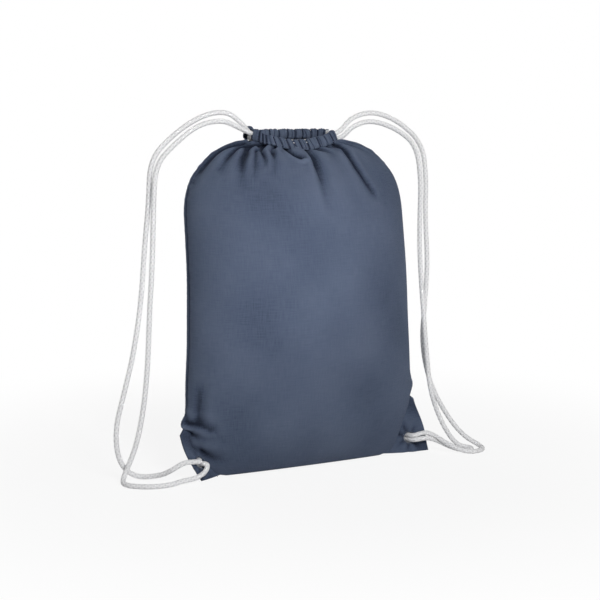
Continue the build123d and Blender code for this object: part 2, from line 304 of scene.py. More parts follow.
def sew_panel(name, front, folds):
    """One panel with its gathers, folds, seam grooves and slack."""
    piece, column, row = cloth_grid(name, PANEL_COLUMNS, len(PANEL_ROWS) - 1)
    u = column / PANEL_COLUMNS
    v = PANEL_ROWS[row]
    places = cloth_at(u, v, front)
    step = 1e-3
    across = cloth_at(np.clip(u + step, 0, 1), v, front) - cloth_at(np.clip(u - step, 0, 1), v, front)
    up = cloth_at(u, np.clip(v + step, 0, 1), front) - cloth_at(u, np.clip(v - step, 0, 1), front)
    normals = np.cross(across, up) * (1 if front else -1)
    normals /= np.maximum(np.linalg.norm(normals, axis=1), 1e-9)[:, None]
    hand = normals if front else -normals
    move = np.zeros(len(u))
    for points, depth, width, lean in folds:
        move += fold_depth(places, hand, front, points, depth, width, lean)
    below = (1 - v) * PANEL_RISE
    fade = np.exp(-below / (9 + 12 * (0.5 + 0.5 * np.sin(2 * pi * 4.3 * u + 2.0))))
    move -= 3.6 * gather(u) * fade
    seam = np.minimum(u, 1 - u) * PANEL_SPAN
    slack = np.sin(places[:, 0] / 31 + places[:, 2] / 57 + 1.0) * np.sin(places[:, 2] / 43 + 0.4)
    finer = np.sin(places[:, 0] / 17 - places[:, 2] / 71) * np.sin(places[:, 2] / 23 + places[:, 0] / 90)
    slack += 0.6 * finer
    standing = smooth(places[:, 2] / 30)
    move += 0.75 * slack * smooth(seam / 25) * standing
    pucker = np.sin(places[:, 2] / 1.75 + 2 * np.sin(places[:, 2] / 19)) * np.sin(places[:, 2] / 6.1 + 1)
    move += 0.55 * pucker * smooth((seam - 1) / 5) * np.exp(-(((seam - 8) / 9) ** 2)) * standing
    rim = smooth((below - 1.0) / 4.0)
    held = smooth(seam / 7)
    move = move * held * (0.35 + 0.65 * rim)
    placed = places + normals * move[:, None]
    toward = np.sign(0.5 - u)
    groove = 1.9 * np.exp(-((seam / 3.4) ** 2)) * standing * smooth((below - 2) / 12)
    left_bulge = 8.5 * np.exp(-(((places[:, 2] - 67) / 9) ** 2)) * np.exp(-((u / 0.05) ** 2))
    right_bulge = 5.5 * np.exp(-(((places[:, 2] - 88) / 15) ** 2)) * np.exp(-(((1 - u) / 0.08) ** 2))
    right_bulge -= 11.0 * smooth((70 - places[:, 2]) / 28) * standing * np.exp(-(((1 - u) / 0.13) ** 2))
    placed[:, 0] += toward * groove - left_bulge + right_bulge
    placed[:, 2] = np.maximum(placed[:, 2], 0.6)
    put_points(piece, placed)
    put_uv(piece, u * FLAT_WIDTH, v * FLAT_HEIGHT)
    # Painted shade where the folds and gathers sink and along the seam grooves; the crests come out paler.
    mark_fold_shade(piece, np.clip(-(move / 5.0) + 0.45 * np.exp(-((seam / 3.0) ** 2)), -1, 1))
    if not front:
        piece.data.flip_normals()
    thicken(piece, CLOTH_THICKNESS)
    apply_all(piece)
    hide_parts("front_panel" if front else "back_panel")
    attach(piece, "root")
    return piece


front_cloth = sew_panel("front_cloth", True, FRONT_FOLDS)
back_cloth = sew_panel("back_cloth", False, BACK_FOLDS)


def node_group(name, inputs, outputs):
    """An empty shader group with those named inputs and outputs."""
    group = bpy.data.node_groups.new(name, "ShaderNodeTree")
    for label, kind, value in inputs:
        socket = group.interface.new_socket(label, in_out="INPUT", socket_type=kind)
        if value is not None:
            socket.default_value = value
    for label, kind in outputs:
        group.interface.new_socket(label, in_out="OUTPUT", socket_type=kind)
    return group, group.nodes.new("NodeGroupInput"), group.nodes.new("NodeGroupOutput")


def calc(tree, operation, first, second=None, third=None):
    """A Math node; each entry is a socket or a number."""
    node = tree.nodes.new("ShaderNodeMath")
    node.operation = operation
    for place, entry in enumerate((first, second, third)):
        if isinstance(entry, (int, float)):
            node.inputs[place].default_value = entry
        elif entry is not None:
            tree.links.new(entry, node.inputs[place])
    return node.outputs[0]


def noise(tree, vector, scale, detail=2.0, roughness=0.5):
    """A Noise node's value on that vector."""
    node = tree.nodes.new("ShaderNodeTexNoise")
    node.inputs["Scale"].default_value = scale
    node.inputs["Detail"].default_value = detail
    node.inputs["Roughness"].default_value = roughness
    tree.links.new(vector, node.inputs["Vector"])
    return node.outputs["Fac"]


def stretch(tree, vector, scale):
    """The vector scaled by that much along each axis."""
    node = tree.nodes.new("ShaderNodeMapping")
    node.inputs["Scale"].default_value = scale
    tree.links.new(vector, node.inputs["Vector"])
    return node.outputs["Vector"]


# Plain weave: yarns over and under each other, with thick and thin places
YARNS = 2100.0  # in each metre of cloth, both ways
weave, weave_in, weave_out = node_group(
    "Plain weave",
    [("Vector", "NodeSocketVector", None), ("Yarns per metre", "NodeSocketFloat", YARNS)],
    [("Height", "NodeSocketFloat"), ("Tone", "NodeSocketFloat")],
)
split = weave.nodes.new("ShaderNodeSeparateXYZ")
weave.links.new(weave_in.outputs["Vector"], split.inputs[0])
turn = calc(weave, "MULTIPLY", weave_in.outputs["Yarns per metre"], pi)
warp_wave = calc(weave, "SINE", calc(weave, "MULTIPLY", split.outputs[0], turn))
weft_wave = calc(weave, "SINE", calc(weave, "MULTIPLY", split.outputs[1], turn))
crossing = calc(weave, "MULTIPLY", warp_wave, weft_wave)
over = calc(weave, "MULTIPLY_ADD", crossing, 0.5, 0.5)
warp_top = calc(weave, "MULTIPLY", calc(weave, "ABSOLUTE", warp_wave), over)
weft_top = calc(weave, "MULTIPLY", calc(weave, "ABSOLUTE", weft_wave), calc(weave, "SUBTRACT", 1.0, over))
yarns = calc(weave, "MAXIMUM", warp_top, weft_top)
warp_slub = noise(weave, stretch(weave, weave_in.outputs["Vector"], (900, 60, 1)), 1.0, 2.0)
weft_slub = noise(weave, stretch(weave, weave_in.outputs["Vector"], (60, 900, 1)), 1.0, 2.0)
slubs = calc(weave, "MULTIPLY", calc(weave, "ADD", warp_slub, weft_slub), 0.5)
weave.links.new(calc(weave, "MULTIPLY_ADD", slubs, 0.8, yarns), weave_out.inputs["Height"])
weave.links.new(calc(weave, "MULTIPLY_ADD", yarns, 0.25, slubs), weave_out.inputs["Tone"])

# The cloth's ramp: the deep blue comes from the weave's dark yarns and from painted shade in the folds. The
# palest blue comes from heathered cloth and from the fold crests.
NAVY_DEEP = (0.010, 0.015, 0.030, 1)
NAVY = (0.066, 0.087, 0.138, 1)
NAVY_PALE = (0.096, 0.122, 0.182, 1)


def navy_cotton(name, fold_shade_strength=0.5):
    """Dyed cotton: woven and heathered, with painted shade deep in its folds, and paler on its crests."""
    material = bpy.data.materials.new(name)
    material.use_nodes = True
    tree = material.node_tree
    shader = tree.nodes["Principled BSDF"]
    shader.inputs["Specular IOR Level"].default_value = 0.18
    shader.inputs["Sheen Weight"].default_value = 0.06
    shader.inputs["Sheen Roughness"].default_value = 0.45
    shader.inputs["Sheen Tint"].default_value = (0.55, 0.66, 0.9, 1)
    place = tree.nodes.new("ShaderNodeTexCoord")
    woven = tree.nodes.new("ShaderNodeGroup")
    woven.node_tree = weave
    tree.links.new(place.outputs["UV"], woven.inputs["Vector"])
    woven.inputs["Yarns per metre"].default_value = YARNS
    fold = tree.nodes.new("ShaderNodeAttribute")
    fold.attribute_name = "fold_depth"
    cloudy = noise(tree, place.outputs["Object"], 14.0, 3.0)
    tone = calc(tree, "MULTIPLY_ADD", woven.outputs["Tone"], 0.85, calc(tree, "MULTIPLY", cloudy, 0.45))
    # Painted shade: the fold_depth attribute darkens the cloth in its folds and makes it paler on its
    # crests.
    tone = calc(tree, "SUBTRACT", tone, calc(tree, "MULTIPLY", fold.outputs["Fac"], 0.5 * fold_shade_strength + 0.6))
    ramp = tree.nodes.new("ShaderNodeValToRGB")
    ramp.color_ramp.elements[0].position = 0.12
    ramp.color_ramp.elements[0].color = NAVY_DEEP
    ramp.color_ramp.elements[1].position = 0.62
    ramp.color_ramp.elements[1].color = NAVY
    pale = ramp.color_ramp.elements.new(1.0)
    pale.color = NAVY_PALE
    tree.links.new(tone, ramp.inputs["Fac"])
    tree.links.new(ramp.outputs["Color"], shader.inputs["Base Color"])
    rough = calc(tree, "MULTIPLY_ADD", woven.outputs["Height"], 0.08, 0.82)
    tree.links.new(rough, shader.inputs["Roughness"])
    crumple = noise(tree, place.outputs["Object"], 75.0, 3.0)
    relief = tree.nodes.new("ShaderNodeBump")
    relief.inputs["Strength"].default_value = 0.55
    relief.inputs["Distance"].default_value = 0.00025
    height = calc(tree, "MULTIPLY_ADD", crumple, 1.6, woven.outputs["Height"])
    tree.links.new(height, relief.inputs["Height"])
    tree.links.new(relief.outputs["Normal"], shader.inputs["Normal"])
    return material


panel_cotton = navy_cotton("Navy cotton of the panels")
for piece in (front_cloth, back_cloth):
    piece.data.materials.append(panel_cotton)

# ---- Drawcord channels ------------------------------------------------------
# Each panel's top edge is turned over and stitched down as a tube for the cords.
# Drawn up, the tube bunches into fine lobes with deep crevices between them.

CASING_DEPTH = 5.6  # half, front to back
CASING_RISE = 7.2  # half, foot to top
CASING_STEPS = 300
CASING_SIDES = 44
SIDE_OPENING = 6.5  # half of the gap where the cords come out


def casing_frame(share, front):
    """Middle line of a channel, its outward direction and its share round the mouth."""
    bend = MOUTH_BEND
    half = bend * pi / 2 + MOUTH_STRAIGHT
    skip = SIDE_OPENING / (2 * half)
    u = skip + share * (1 - 2 * skip)
    middle = mouth_line(u, front, 0.0)
    edge = np.clip(np.abs(middle[:, 0]) - MOUTH_STRAIGHT, 0, None) * np.sign(middle[:, 0])
    out = np.stack([edge, middle[:, 1] - MOUTH_Y, np.zeros(len(u))], -1)
    out /= np.linalg.norm(out, axis=1)[:, None]
    return middle, out, u


def face_outwards(piece, merge=None):
    """Turns a shape's faces outwards, after points nearer than merge are joined."""
    bpy.ops.object.select_all(action="DESELECT")
    piece.select_set(True)
    bpy.context.view_layer.objects.active = piece
    bpy.ops.object.mode_set(mode="EDIT")
    bpy.ops.mesh.select_all(action="SELECT")
    if merge:
        bpy.ops.mesh.remove_doubles(threshold=merge)
    bpy.ops.mesh.normals_make_consistent(inside=False)
    bpy.ops.object.mode_set(mode="OBJECT")


def casing(name, front):
    """One bunched channel as a hollow tube, open at both ends."""
    piece, column, row = cloth_grid(name, CASING_STEPS, CASING_SIDES)
    share = column / CASING_STEPS
    angle = 2 * pi * row / CASING_SIDES
    middle, out, u = casing_frame(share, front)
    cos_a, sin_a = np.cos(angle), np.sin(angle)
    flat = np.sign(cos_a) * np.abs(cos_a) ** 0.8
    tall = np.sign(sin_a) * np.abs(sin_a) ** 0.9
    twist = u + 0.006 * np.sin(angle + 9 * u) + 0.004 * np.sin(2 * angle + 31 * u)
    crevice = gather(twist)
    for points, _, _, _ in FRONT_FOLDS if front else BACK_FOLDS:
        if points[0][1] == 1.0:
            crevice = np.maximum(crevice, np.exp(-(((u - points[0][0]) / 0.011) ** 2)))
    fine = 0.5 + 0.5 * np.sin(2 * pi * 47 * twist + 2 * np.sin(14 * u) + 1.5 * sin_a)
    squeeze = 1.8 * crevice * (0.7 + 0.3 * sin_a) + 0.42 * fine
    depth = CASING_DEPTH - squeeze - 2.0 * (cos_a > 0) * cos_a * front
    lying = np.sin(pi * u) ** 0.8 if front else 0.25
    rise = CASING_RISE - (2.2 if front else 2.0) * lying
    rise = rise - 1.4 * crevice * (0.4 + 0.6 * (sin_a > 0)) - 0.35 * fine
    lobes = 0.5 * np.sin(2 * pi * 6.1 * u + 0.5) + 0.4 * np.sin(2 * pi * 10.3 * u)
    hump = (2.2 if front else 3.4) * np.exp(-(((u - 0.09) / 0.045) ** 2))
    lift = 6.4 - (3.6 if front else 3.0) * lying + lobes * 0.6 + hump
    hem = np.clip(0.75 * cos_a - 0.65 * sin_a, 0, 1) ** 1.5 * lying
    places = middle + out * (depth * flat + 9.5 * hem)[:, None]
    places[:, 2] += lift + rise * tall * (1 + 0.05 * hump) - 4.2 * hem
    put_points(piece, places)
    put_uv(piece, u * FLAT_WIDTH, row / CASING_SIDES * 0.05)
    # Painted shade in the crevices between the bunched lobes and in the fine gathers; the lobes come out
    # paler.
    mark_fold_shade(piece, np.clip(crevice * 0.95 + 0.25 * fine - 0.35, -1, 1))
    face_outwards(piece, merge=1e-5)
    thicken(piece, 0.9 * MM)
    apply_all(piece)
    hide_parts("front_channel" if front else "back_channel")
    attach(piece, "root")
    piece.data.materials.append(casing_cotton)
    return piece


# The channels carry the strongest painted shade in their crevices of the three cloths.
casing_cotton = navy_cotton("Navy cotton of the channels", fold_shade_strength=0.9)
front_casing = casing("front_casing", True)
back_casing = casing("back_casing", False)

# ---- Stitches along the foot of each channel --------------------------------
# A row of lockstitches in navy cotton thread closes the turned edge. Each stitch is set on the channel's
# surface, at the point nearest its seat.

THREAD = 0.7 * MM
STITCH = 3.2 * MM


def navy_thread(name):
    """Twisted cotton thread, dyed to match the cloth."""
    material = bpy.data.materials.new(name)
    material.use_nodes = True
    tree = material.node_tree
    shader = tree.nodes["Principled BSDF"]
    shader.inputs["Specular IOR Level"].default_value = 0.25
    shader.inputs["Sheen Weight"].default_value = 0.2
    place = tree.nodes.new("ShaderNodeTexCoord")
    plies = tree.nodes.new("ShaderNodeTexWave")
    plies.bands_direction = "DIAGONAL"
    plies.inputs["Scale"].default_value = 900.0
    plies.inputs["Distortion"].default_value = 1.5
    tree.links.new(place.outputs["Object"], plies.inputs["Vector"])
    colour = tree.nodes.new("ShaderNodeValToRGB")
    colour.color_ramp.elements[0].color = (0.020, 0.029, 0.050, 1)
    colour.color_ramp.elements[1].color = (0.075, 0.100, 0.155, 1)
    tree.links.new(plies.outputs["Fac"], colour.inputs["Fac"])
    tree.links.new(colour.outputs["Color"], shader.inputs["Base Color"])
    rough = calc(tree, "MULTIPLY_ADD", plies.outputs["Fac"], 0.1, 0.66)
    tree.links.new(rough, shader.inputs["Roughness"])
    relief = tree.nodes.new("ShaderNodeBump")
    relief.inputs["Strength"].default_value = 0.5
    relief.inputs["Distance"].default_value = 0.00012
    tree.links.new(plies.outputs["Fac"], relief.inputs["Height"])
    tree.links.new(relief.outputs["Normal"], shader.inputs["Normal"])
    return material


thread = navy_thread("Navy cotton thread")


def join_all(name, parts):
    """Joins separate meshes into one piece of that name."""
    bpy.ops.object.select_all(action="DESELECT")
    for part in parts:
        part.select_set(True)
    bpy.context.view_layer.objects.active = parts[0]
    bpy.ops.object.join()
    piece = bpy.context.object
    piece.name = piece.data.name = name
    return piece


def sew_row(name, spots, node):
    """A row of stitches: one is shaped, then copied to each place, way and face."""
    bpy.ops.mesh.primitive_uv_sphere_add(segments=10, ring_count=6, radius=0.5)
    first = bpy.context.object
    first.data.transform(Matrix.Diagonal((STITCH, THREAD, THREAD * 0.9, 1)))
    row = []
    for place, way, face in spots:
        way = Vector(way).normalized()
        face = (Vector(face) - way * way.dot(Vector(face))).normalized()
        turn = Matrix((way, face.cross(way), face)).transposed().to_4x4()
        stitch = bpy.data.objects.new(name, first.data.copy())
        stitch.data.transform(Matrix.Translation(place) @ turn)
        bpy.context.scene.collection.objects.link(stitch)
        row.append(stitch)
    bpy.data.objects.remove(first)
    piece = join_all(name, row)
    bpy.ops.object.shade_smooth()
    piece.data.materials.append(thread)
    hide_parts(node)
    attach(piece, "root")
    return piece


def nearest(piece, place):
    """The point of a piece's surface nearest to a place, and its normal."""
    _, spot, face, _ = piece.closest_point_on_mesh(Vector(place))
    return spot, face


for side, sleeve in (("front", front_casing), ("back", back_casing)):
    shares = np.linspace(0.03, 0.97, 28)
    middle, out, _ = casing_frame(shares, side == "front")
    lying = (np.sin(pi * shares) ** 0.8 if side == "front" else np.full(28, 0.25))[:, None]
    seats = (middle + out * (8.0 + 5.0 * lying) + np.array([0, 0, 1.6]) * (1 - 1.4 * lying)) * MM
    spots = []
    for k, seat in enumerate(seats):
        way = seats[min(k + 1, len(seats) - 1)] - seats[max(k - 1, 0)]
        spot, face = nearest(sleeve, seat)
        spots.append((spot + face * THREAD * 0.15, way, face))
    sew_row(f"{side}_casing_stitches", spots, f"{side}_channel_stitching")

# ---- Corner tabs --------------------------------------------------------------
# The bottom corners of the flat bag stay empty, so they lie flat beside the
# filled part as doubled cloth. The left one is bent forwards by its cord.

TAB_THICKNESS = 2.6 * MM
LEFT_TAB = [
    [(-150, -11, 72), (-156, -13, 67), (-161, -16, 62), (-166, -19, 56)],
    [(-147, -14, 47), (-153, -18, 45), (-159, -22, 44), (-165, -24, 43)],
    [(-139, -17, 28), (-147, -22, 27), (-155, -26, 29), (-161.5, -27.5, 31)],
    [(-129, -22, 13), (-137, -25, 13), (-145, -29, 13.5), (-152, -31.5, 13)],
    [(-102, -9, 2.0), (-116, -18, 1.8), (-130, -27, 1.7), (-145, -34, 1.7)],
]
RIGHT_TAB = [
    [(141, -9, 82), (147, -12, 78), (152, -15, 74), (157, -19, 69)],
    [(142, -17, 48), (149, -20, 47), (157, -22, 46), (165, -23.5, 45)],
    [(135, -19, 28), (146, -23.5, 28), (158, -25.5, 27.5), (169.5, -26, 27)],
    [(125, -20, 13), (139, -24.5, 13), (156, -27.5, 12.5), (172, -28, 12)],
    [(106, -16, 1.8), (128, -22, 1.7), (150, -28, 1.7), (174, -29.5, 1.7)],
]
LEFT_HOLE = Vector((-145, -26.6, 22)) * MM
RIGHT_HOLE = Vector((147, -25.0, 20)) * MM
HOLE_RADIUS = 6.9 * MM

tab_cotton = navy_cotton("Navy cotton of the corner tabs", fold_shade_strength=0.6)


def corner_tab(name, net, hole, node):
    """A doubled corner of cloth, shaped from a net of points, with its cord hole."""
    rows, columns = len(net) - 1, len(net[0]) - 1
    piece, column, row = cloth_grid(name, columns, rows)
    places = np.array([net[rows - r][c] for c, r in zip(column, row)], float)
    put_points(piece, places)
    put_uv(piece, column / columns * 0.06, row / rows * 0.07)
    finer = piece.modifiers.new("Finer", "SUBSURF")
    finer.levels = finer.render_levels = 5
    finer.boundary_smooth = "PRESERVE_CORNERS"
    apply_all(piece)
    flat = np.empty(len(piece.data.vertices) * 3)
    piece.data.vertices.foreach_get("co", flat)
    flat = flat.reshape(-1, 3) / MM
    centre = np.array(hole) / MM
    reach = np.hypot(flat[:, 0] - centre[0], flat[:, 2] - centre[2])
    round_hole = np.arctan2(flat[:, 2] - centre[2], flat[:, 0] - centre[0])
    pull = 0.7 * np.sin(7 * round_hole + 1.0) * np.exp(-(((reach - 13) / 7) ** 2))
    ripple = 0.8 * np.sin(flat[:, 2] / 7 + flat[:, 0] / 13) + pull
    flat[:, 1] += ripple
    put_points(piece, flat)
    # Painted shade over the whole tab, which lies set back in the corner's shadow; darker where its ripples
    # sink back and paler where they rise.
    mark_fold_shade(piece, np.clip(0.25 + 0.25 * ripple, -1, 1))
    thicken(piece, TAB_THICKNESS, 0.0)
    edge = piece.modifiers.new("Turned edge", "BEVEL")
    edge.width = 0.8 * MM
    edge.segments = 2
    edge.limit_method = "ANGLE"
    edge.angle_limit = radians(60)
    apply_all(piece)
    _, face = nearest(piece, hole + Vector((0, -0.02, 0)))
    bpy.ops.mesh.primitive_cylinder_add(vertices=48, radius=HOLE_RADIUS, depth=30 * MM)
    punch = bpy.context.object
    punch.data.transform(Matrix.Translation(hole) @ face.to_track_quat("Z", "Y").to_matrix().to_4x4())
    cut = piece.modifiers.new("Hole", "BOOLEAN")
    cut.operation = "DIFFERENCE"
    cut.object = punch
    apply_all(piece)
    bpy.data.objects.remove(punch)
    piece.data.materials.append(tab_cotton)
    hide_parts(node)
    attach(piece, "root")
    return piece, face


left_tab, left_face = corner_tab("left_tab_cloth", LEFT_TAB, LEFT_HOLE, "left_corner_tab")
right_tab, right_face = corner_tab("right_tab_cloth", RIGHT_TAB, RIGHT_HOLE, "right_corner_tab")

# ---- Stitches that close the tabs -----------------------------------------------
# A short slanting row in navy thread holds both layers of each tab together and
# strengthens the corner between the hole and the filled part of the bag.

LEFT_ROW = ((-0.112, 0.004), (-0.152, 0.048))
RIGHT_ROW = ((0.115, 0.004), (0.154, 0.048))

for side, tab, ends in (("left", left_tab, LEFT_ROW), ("right", right_tab, RIGHT_ROW)):
    low, high = Vector(ends[0]), Vector(ends[1])
    seats = [low.lerp(high, (k + 0.5) / 12) for k in range(12)]
    way = (high - low).normalized()
    spots = []
    for seat in seats:
        spot, face = nearest(tab, (seat.x, -0.036, seat.y))
        spots.append((spot + face * THREAD * 0.2, (way.x, 0, way.y), face))
    sew_row(f"{side}_tab_stitches", spots, f"{side}_tab_stitching")

# ---- Overcast rims of the corner holes --------------------------------------------
# Navy thread is wound closely over the edge of each hole, like a buttonhole, so
# that the cord doesn't tear the cloth.

RIM_WRAPS = 44

for side, hole, face in (("left", LEFT_HOLE, left_face), ("right", RIGHT_HOLE, right_face)):
    bpy.ops.mesh.primitive_torus_add(
        major_segments=RIM_WRAPS * 5, minor_segments=12, major_radius=1.0, minor_radius=0.1
    )
    rim = bpy.context.object
    rim.name = rim.data.name = f"{side}_hole_rim"
    flat = np.empty(len(rim.data.vertices) * 3)
    rim.data.vertices.foreach_get("co", flat)
    flat = flat.reshape(-1, 3)
    around = np.arctan2(flat[:, 1], flat[:, 0])
    spoke = np.hypot(flat[:, 0], flat[:, 1]) - 1.0
    swell = 1 + 0.16 * np.abs(np.sin(around * RIM_WRAPS / 2 + 6 * spoke)) - 0.08
    radius = HOLE_RADIUS + 0.7 * MM + spoke * 10 * 1.15 * MM * swell
    height = flat[:, 2] * 10 * 1.85 * MM * swell
    shaped = np.stack([radius * np.cos(around), radius * np.sin(around), height], -1)
    rim.data.vertices.foreach_set("co", shaped.astype(np.float32).ravel())
    rim.data.transform(Matrix.Translation(hole) @ face.to_track_quat("Z", "Y").to_matrix().to_4x4())
    apply_all(rim)
    rim.data.materials.append(thread)
    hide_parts(f"{side}_hole_binding")
    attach(rim, "root")

# ---- Cords -------------------------------------------------------------------------
# Two white braided cotton cords, 6 mm thick. Each runs once round the channel,
# leaves it at one side as two strands, and is knotted behind that side's corner.

CORD = 0.006
CORD_STEP = 0.00085  # between the rings of a cord's mesh
BRAID_PITCH = 0.0066
BRAID_STRANDS = 4  # that wind each way
SQUEEZE = 0.2  # how much thinner the channel presses the cord
SQUEEZE_REACH = 0.0545
SQUEEZE_FLOOR = 0.35

# From the upper end at the hole, up the outer strand, round the channel and
# down the inner strand to the lower end, in metres
LEFT_ROUTE = [
    (-0.145, -0.014, 0.0252), (-0.1445, -0.0334, 0.0252), (-0.156, -0.0338, 0.0262),
    (-0.167, -0.0315, 0.0263),
    (-0.180, -0.025, 0.017), (-0.188, -0.010, 0.008), (-0.212, 0.012, 0.0034), (-0.232, 0.012, 0.024),
    (-0.237, 0.009, 0.064), (-0.226, 0.006, 0.107), (-0.214, 0.004, 0.154), (-0.203, 0.0055, 0.214),
    (-0.197, 0.008, 0.277), (-0.190, 0.010, 0.330), (-0.187, 0.0125, 0.377), (-0.160, 0.015, 0.404),
    (-0.121, 0.018, 0.428), (-0.087, 0.0185, 0.434), (-0.0681, 0.0174, 0.4209), (-0.0563, 0.021, 0.4095),
    (-0.0500, 0.031, 0.4075), (-0.037, 0.0353, 0.4075), (0.037, 0.0353, 0.4075), (0.0505, 0.031, 0.4075),
    (0.0558, 0.017, 0.406), (0.0495, 0.004, 0.4035), (0.036, 0.0005, 0.400), (0.0, 0.001, 0.3956),
    (-0.036, 0.0005, 0.400), (-0.0495, 0.0055, 0.4035), (-0.0563, 0.0125, 0.407), (-0.0699, 0.0166, 0.4137),
    (-0.094, 0.012, 0.4235), (-0.127, 0.0095, 0.418),
    (-0.158, 0.0075, 0.396), (-0.184, 0.0035, 0.372), (-0.188, 0.001, 0.326), (-0.1915, -0.0025, 0.262),
    (-0.197, -0.0045, 0.202), (-0.201, -0.007, 0.140), (-0.207, -0.007, 0.088), (-0.216, -0.003, 0.042),
    (-0.231, 0.004, 0.005), (-0.235, -0.014, 0.003), (-0.214, -0.034, 0.003), (-0.188, -0.038, 0.003),
    (-0.172, -0.036, 0.0055), (-0.156, -0.0378, 0.0068), (-0.1435, -0.0385, 0.0125),
    (-0.1385, -0.0370, 0.0215), (-0.1430, -0.031, 0.0222), (-0.145, -0.014, 0.0188),
]
RIGHT_ROUTE = [
    (0.147, -0.014, 0.0232), (0.1465, -0.0334, 0.0232), (0.160, -0.0333, 0.0262), (0.1746, -0.0314, 0.0252),
    (0.192, -0.055, 0.010), (0.210, -0.069, 0.003), (0.235, -0.066, 0.003), (0.243, -0.047, 0.0034),
    (0.222, -0.037, 0.017), (0.202, -0.026, 0.046), (0.182, -0.017, 0.088), (0.174, -0.010, 0.140),
    (0.182, -0.006, 0.192), (0.188, -0.001, 0.243), (0.186, 0.003, 0.300), (0.1905, 0.008, 0.350),
    (0.186, 0.012, 0.392), (0.154, 0.0165, 0.420), (0.117, 0.0195, 0.433), (0.085, 0.0195, 0.425),
    (0.070, 0.0174, 0.4083), (0.0563, 0.021, 0.4035), (0.0500, 0.031, 0.4022), (0.037, 0.0353, 0.4022),
    (-0.037, 0.0353, 0.4022), (-0.0505, 0.031, 0.4022), (-0.0558, 0.017, 0.4015), (-0.0505, 0.0015, 0.3995),
    (-0.037, -0.0036, 0.397), (0.0, -0.0038, 0.3928), (0.037, -0.0036, 0.397), (0.0505, 0.0015, 0.3988),
    (0.0568, 0.0125, 0.3985), (0.0721, 0.0165, 0.4009),
    (0.085, 0.014, 0.415), (0.111, 0.0125, 0.422), (0.146, 0.010, 0.411), (0.174, 0.0065, 0.390),
    (0.179, 0.0025, 0.346), (0.1725, -0.005, 0.290), (0.1705, -0.011, 0.235), (0.172, -0.018, 0.176),
    (0.174, -0.024, 0.120), (0.176, -0.030, 0.076), (0.191, -0.036, 0.034), (0.210, -0.041, 0.006),
    (0.228, -0.049, 0.003), (0.219, -0.060, 0.003), (0.199, -0.054, 0.005), (0.1774, -0.0346, 0.0180),
    (0.161, -0.0375, 0.0205), (0.1475, -0.0345, 0.0182), (0.147, -0.014, 0.0168),
]


def cord_line(route, spacing, closed=False):
    """Points along a smooth line through a cord's route, evenly spaced."""
    curve = bpy.data.curves.new("route", "CURVE")
    curve.dimensions = "3D"
    spline = curve.splines.new("NURBS")
    spline.points.add(len(route) - 1)
    for point, place in zip(spline.points, route):
        point.co = (*place, 1)
    spline.order_u = 3
    spline.use_endpoint_u = not closed
    spline.use_cyclic_u = closed
    spline.resolution_u = 24
    holder = bpy.data.objects.new("route", curve)
    bpy.context.scene.collection.objects.link(holder)
    line = bpy.data.meshes.new_from_object(holder)
    places = np.array([v.co for v in line.vertices], float)
    bpy.data.objects.remove(holder)
    bpy.data.meshes.remove(line)
    steps = np.linalg.norm(np.diff(places, axis=0), axis=1)
    places = places[np.concatenate([[True], steps > 1e-7])]
    run = np.concatenate([[0], np.cumsum(np.linalg.norm(np.diff(places, axis=0), axis=1))])
    marks = np.linspace(0, run[-1], int(run[-1] / spacing) + 1)
    return np.stack([np.interp(marks, run, places[:, k]) for k in range(3)], -1), run[-1]


def braided_tube(name, line, radius, sides=20):
    """A round cord along a line, with the strands of its braid raised on it."""
    way = np.gradient(line, axis=0)
    way /= np.linalg.norm(way, axis=1)[:, None]
    side = np.cross(way[0], (0.0, 0.0, 1.0) if abs(way[0][2]) < 0.9 else (1.0, 0.0, 0.0))
    side /= np.linalg.norm(side)
    sides_at = []
    for direction in way:
        side = side - direction * (side @ direction)
        side /= np.linalg.norm(side)
        sides_at.append(side)
    sides_at = np.array(sides_at)
    ups = np.cross(way, sides_at)
    run = np.concatenate([[0], np.cumsum(np.linalg.norm(np.diff(line, axis=0), axis=1))])
    angle = 2 * pi * np.arange(sides) / sides
    lead = 2 * pi / BRAID_PITCH
    left_hand = np.cos(BRAID_STRANDS * angle[None] + lead * run[:, None])
    right_hand = np.cos(BRAID_STRANDS * angle[None] - lead * run[:, None])
    raised = np.maximum(left_hand, right_hand)
    inside = smooth((SQUEEZE_REACH - np.abs(line[:, 0])) / 0.004) * (line[:, 2] > SQUEEZE_FLOOR)
    squeezed = 1 - SQUEEZE * inside
    reach = radius * (0.965 + 0.042 * raised) * squeezed[:, None]
    places = (
        line[:, None]
        + sides_at[:, None] * (reach * np.cos(angle))[..., None]
        + ups[:, None] * (reach * np.sin(angle))[..., None]
    )
    count = len(line)
    faces = []
    for k in range(count - 1):
        for a in range(sides):
            b = (a + 1) % sides
            faces.append((k * sides + a, k * sides + b, (k + 1) * sides + b, (k + 1) * sides + a))
    faces.append(tuple(range(sides - 1, -1, -1)))
    faces.append(tuple(range((count - 1) * sides, count * sides)))
    mesh = bpy.data.meshes.new(name)
    mesh.from_pydata(places.reshape(-1, 3).tolist(), [], faces)
    layer = mesh.attributes.new("strand", "FLOAT", "POINT")
    layer.data.foreach_set("value", raised.astype(np.float32).ravel())
    along = mesh.attributes.new("braid", "FLOAT_VECTOR", "POINT")
    rolled = np.zeros((count, sides, 3))
    rolled[..., 0] = angle[None] * radius
    rolled[..., 1] = run[:, None]
    along.data.foreach_set("vector", rolled.astype(np.float32).ravel())
    piece = bpy.data.objects.new(name, mesh)
    bpy.context.scene.collection.objects.link(piece)
    apply_all(piece)
    face_outwards(piece)
    return piece


